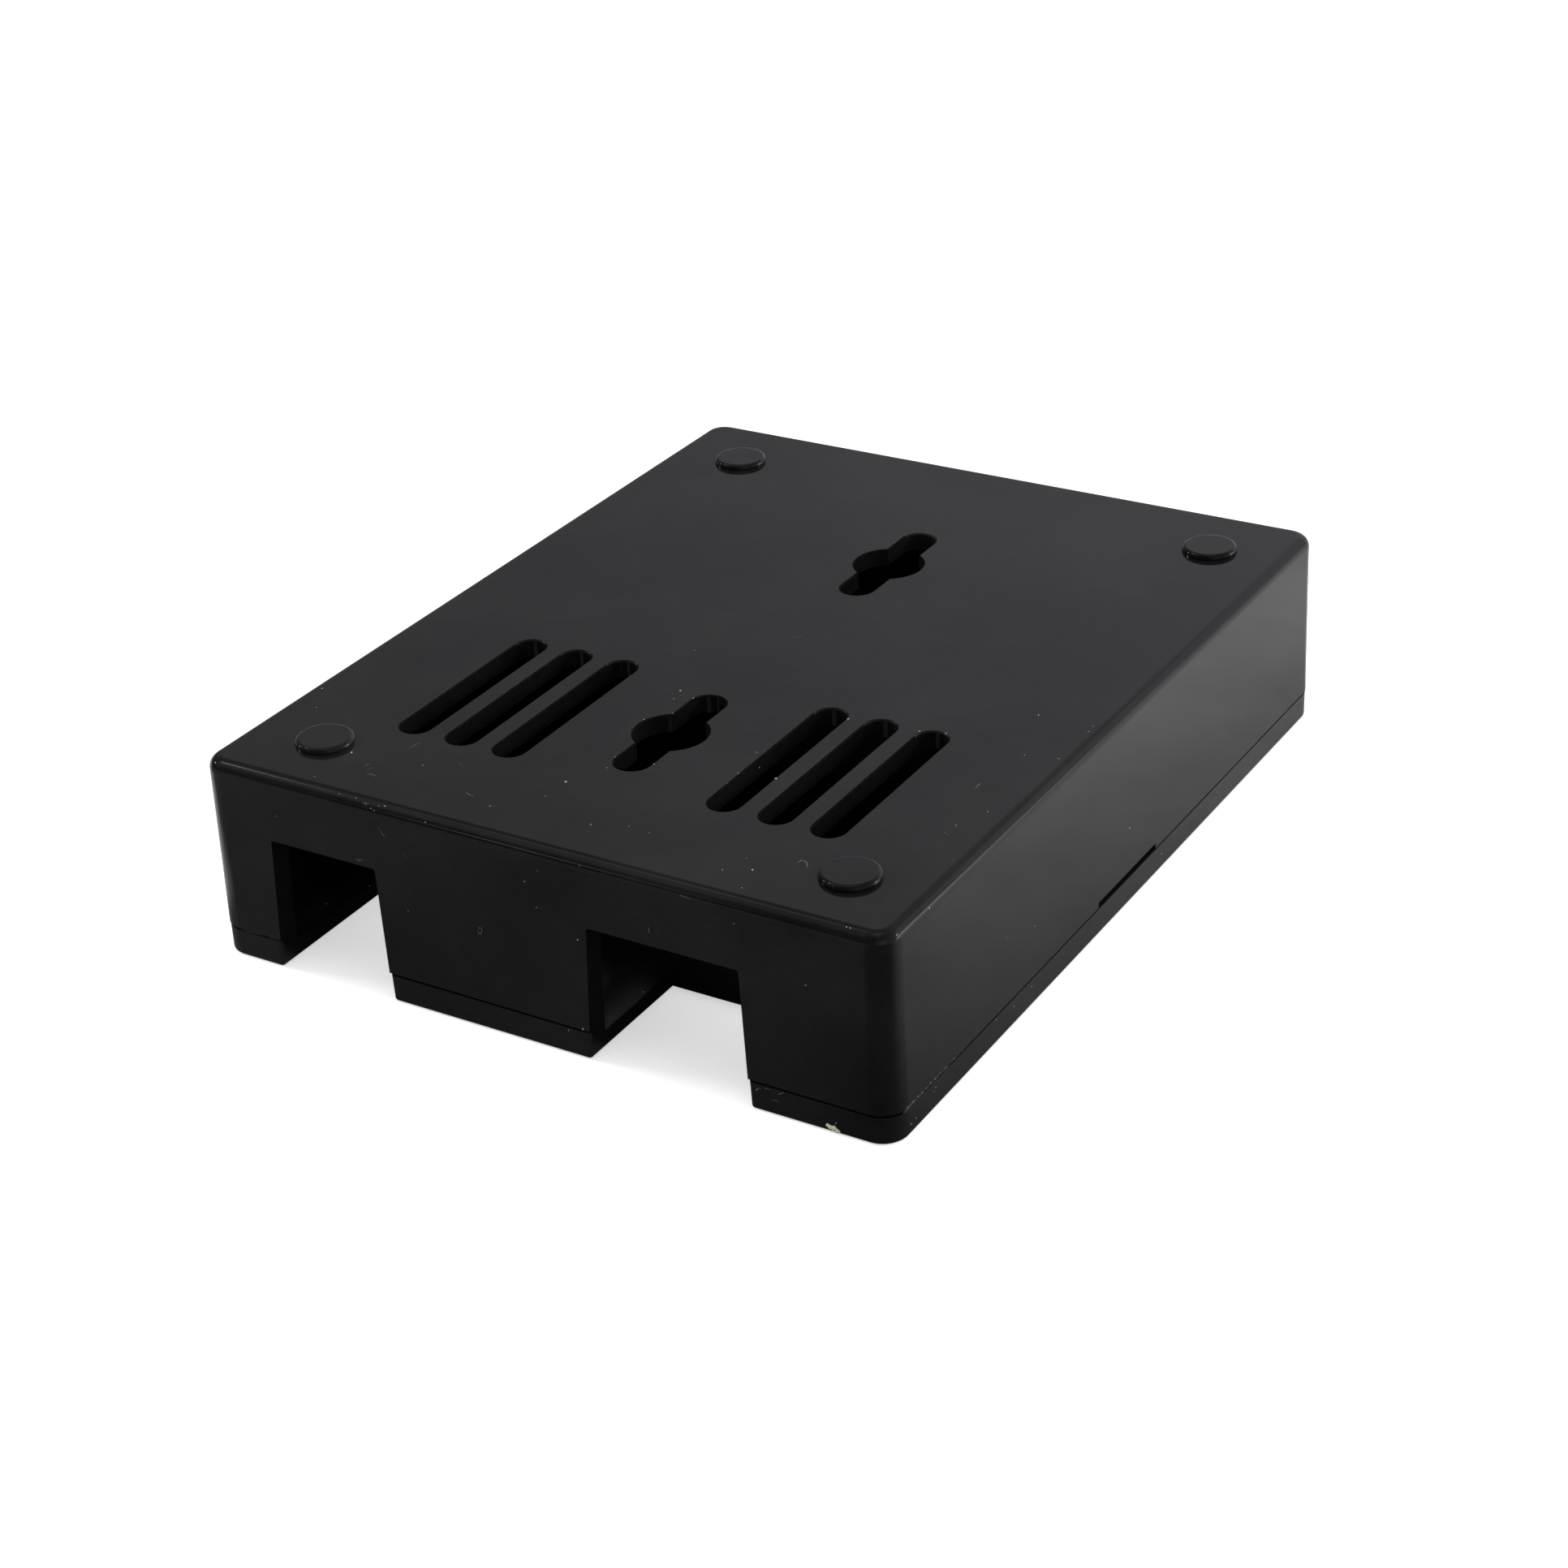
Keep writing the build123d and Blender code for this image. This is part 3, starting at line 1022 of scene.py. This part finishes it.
@dataclass(frozen=True)
class LightTent:
    """The grey tent round the table that the case's top and edges reflect, and that nothing else sees.

    A fade has the heights where it starts and ends, as shares of the tent's, and its values there.
    """

    reach: float = 4.0
    segments: int = 96
    rings: int = 48
    colour: Colour = (0.985, 0.985, 1.045)
    least: float = 0.01
    broad: Glow = Glow(70.0, 18.0, 54.0, 0.62)
    broad_most: float = 0.46
    upper_fade: Ramp = (0.5, 0.65, 1.0, 0.5)
    summit_fade: Ramp = (0.65, 1.0, 1.0, 0.5)
    low: Glow = Glow(36.5, 9.0, 9.7, 7.6)
    low_most: float = 2.2
    low_fade: Ramp = (0.12, 0.2, 1.0, 0.0)
    glows: tuple[Glow, ...] = (
        Glow(165.0, 60.0, 8.0, 0.4),
        Glow(235.8, 20.8, 2.4, 1.3),
        Glow(187.5, 50.0, 2.0, 9.0),
        Glow(205.0, 48.0, 16.0, 0.3),
        Glow(36.0, 20.0, 2.2, 16.0),
        Glow(188.0, 25.0, 2.2, 16.0),
        Glow(0.0, 90.0, 14.0, 0.4),
        Glow(-38.0, 12.0, 24.0, 0.26),
    )

    def strength(self, graph: Graph) -> bpy.types.NodeSocket:
        """Gives how bright the tent is in each direction.

        Args:
            graph: The tent's graph.

        Returns:
            The brightness.
        """
        way = graph.vector("NORMALIZE", graph.coordinates()).outputs[0]
        z = graph.split("ShaderNodeSeparateXYZ", way)[2]
        fall = graph.math("MULTIPLY", graph.ramp(z, *self.upper_fade), graph.ramp(z, *self.summit_fade))
        broad = graph.math("MINIMUM", self.broad.build(graph, way), self.broad_most)
        total = graph.math("MULTIPLY", graph.math("ADD", broad, self.least), fall)
        low = graph.math("MINIMUM", self.low.build(graph, way), self.low_most)
        total = graph.math("ADD", total, graph.math("MULTIPLY", low, graph.ramp(z, *self.low_fade)))
        for glow in self.glows:
            total = graph.math("ADD", total, glow.build(graph, way))
        return total

    def build(self) -> None:
        """Builds the tent."""
        mesh = bpy.data.meshes.new("light_tent")
        form = bmesh.new()
        bmesh.ops.create_uvsphere(form, u_segments=self.segments, v_segments=self.rings, radius=self.reach)
        below = [vert for vert in form.verts if vert.co.z < -MM]
        bmesh.ops.delete(form, geom=below, context="VERTS")
        bmesh.ops.reverse_faces(form, faces=form.faces)
        form.to_mesh(mesh)
        form.free()
        tent = bpy.data.objects.new("light_tent", mesh)
        bpy.context.scene.collection.objects.link(tent)
        material, graph = new_material("light_tent")
        graph.put_out(graph.glow(self.colour, self.strength(graph)))
        tent.data.materials.append(material)
        show_only_in_gloss(tent)


@dataclass
class Studio:
    """Pale floor, soft lamps, and the card and the tent that only reflections see."""

    floor_reach: float = 3.0
    floor_height: float = -0.02 * MM
    floor_colour: Colour = (0.8, 0.8, 0.8)
    floor_glow: float = 0.55
    world_light: float = 0.45
    overhead: tuple[float, float, float] = (0.1, 0.1, 0.9)
    window_right: tuple[float, float, float] = aim(36.0, 20.0, 1.2)
    window_left: tuple[float, float, float] = aim(188.0, 25.0, 1.2)

    def build(self) -> None:
        """Builds the whole stage."""
        self.build_world()
        self.build_floor()
        TableCard().build()
        LightTent().build()
        self.build_lamp("overhead_softbox", self.overhead, size=0.9, power=6.0)
        self.build_lamp("window_right", self.window_right, size=0.3, power=6.5)
        self.build_lamp("window_left", self.window_left, size=0.3, power=6.5)

    def seen_directly(self, graph: Graph) -> bpy.types.NodeSocket:
        """Gives 1 for the camera's rays, reflections and refractions, and 0 for the rest."""
        path = graph.add("ShaderNodeLightPath")
        either = graph.math("MAXIMUM", path.outputs["Is Camera Ray"], path.outputs["Is Glossy Ray"])
        return graph.math("MAXIMUM", either, path.outputs["Is Transmission Ray"])

    def build_world(self) -> None:
        """Builds a white background over a plain even light."""
        world = bpy.data.worlds.new("studio_world")
        bpy.context.scene.world = world
        world.use_nodes = True
        world.node_tree.nodes.clear()
        graph = Graph(world.node_tree)
        mix = graph.add("ShaderNodeMixShader")
        graph.feed(mix.inputs[0], self.seen_directly(graph))
        for socket, strength in zip(mix.inputs[1:], (self.world_light, 1.0)):
            shader = graph.add("ShaderNodeBackground")
            shader.inputs["Color"].default_value = (*WHITE, 1.0)
            shader.inputs["Strength"].default_value = strength
            graph.feed(socket, shader.outputs[0])
        graph.put_out(mix, "ShaderNodeOutputWorld")

    def build_floor(self) -> None:
        """Builds the pale floor, white where it is seen directly, with the case's soft shadow."""
        floor = lay_sheet("floor", self.floor_reach, self.floor_height)
        material, graph = new_material("pale_floor")
        paint = graph.add("ShaderNodeBsdfDiffuse")
        paint.inputs["Color"].default_value = (*self.floor_colour, 1.0)
        both = graph.add("ShaderNodeAddShader")
        glow = graph.glow(WHITE, graph.math("MULTIPLY", self.seen_directly(graph), self.floor_glow))
        for socket, shader in zip(both.inputs, (paint, glow)):
            graph.feed(socket, shader.outputs[0])
        graph.put_out(both)
        floor.data.materials.append(material)

    def build_lamp(self, name: str, place: tuple[float, float, float], size: float, power: float) -> bpy.types.Object:
        """Builds a soft square lamp aimed at the case, which neither the camera nor reflections show.

        Args:
            name: The lamp's name.
            place: Where it hangs, in metres.
            size: Its side, in metres.
            power: Its power in watts.

        Returns:
            The lamp.
        """
        data = bpy.data.lights.new(name, "AREA")
        data.shape = "SQUARE"
        data.size = size
        data.energy = power
        lamp = bpy.data.objects.new(name, data)
        lamp.location = place
        lamp.rotation_euler = (-Vector(place)).to_track_quat("-Z", "Y").to_euler()
        bpy.context.scene.collection.objects.link(lamp)
        lamp.visible_camera = False
        lamp.visible_glossy = False
        return lamp


def main() -> None:
    """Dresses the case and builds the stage."""
    logging.basicConfig(level=logging.INFO, format="%(name)s: %(message)s")
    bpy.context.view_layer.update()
    effects = SurfaceEffects()
    for piece in (CaseShell(), CaseLid()):
        LOG.info("dressed %s", piece.dress(effects).name)
    dust = DullDust().build()
    lint = DullDust("grey_lint", colour=(0.2, 0.2, 0.2), shade=(0.09, 0.09, 0.09)).build()
    # The seam fibres are dust, and their dark colour is painted shade of the seam groove.
    dust_in_seam_shade = DullDust("dust_with_painted_seam_shade", colour=(0.045, 0.045, 0.045), shade=(0.02, 0.02, 0.02)).build()
    cream = DullDust("cream_crumb", colour=(0.66, 0.69, 0.5), shade=(0.42, 0.43, 0.3)).build()
    for settled, flake, fibre in (
        (SettledDust("shell_dust", "base_shell", SHELL_SPECKS, SHELL_FIBRES), dust, lint),
        (SettledDust("seam_dust_and_shade", "base_shell", {}, SEAM_FIBRES, seed=3), dust_in_seam_shade, dust_in_seam_shade),
        (SettledDust("lid_dust", "lid", LID_SPECKS, LID_FIBRES, seed=11), dust, lint),
        (SettledDust("lid_crumb", "lid", LID_CRUMBS, {}, seed=5), cream, lint),
    ):
        LOG.info("settled %s", settled.build(flake, fibre).name)
    Studio().build()
    Viewpoint().build()
    bpy.context.scene.view_settings.view_transform = "Standard"
    LOG.info("wrote the sizes")


if __name__ == "__main__":
    main()
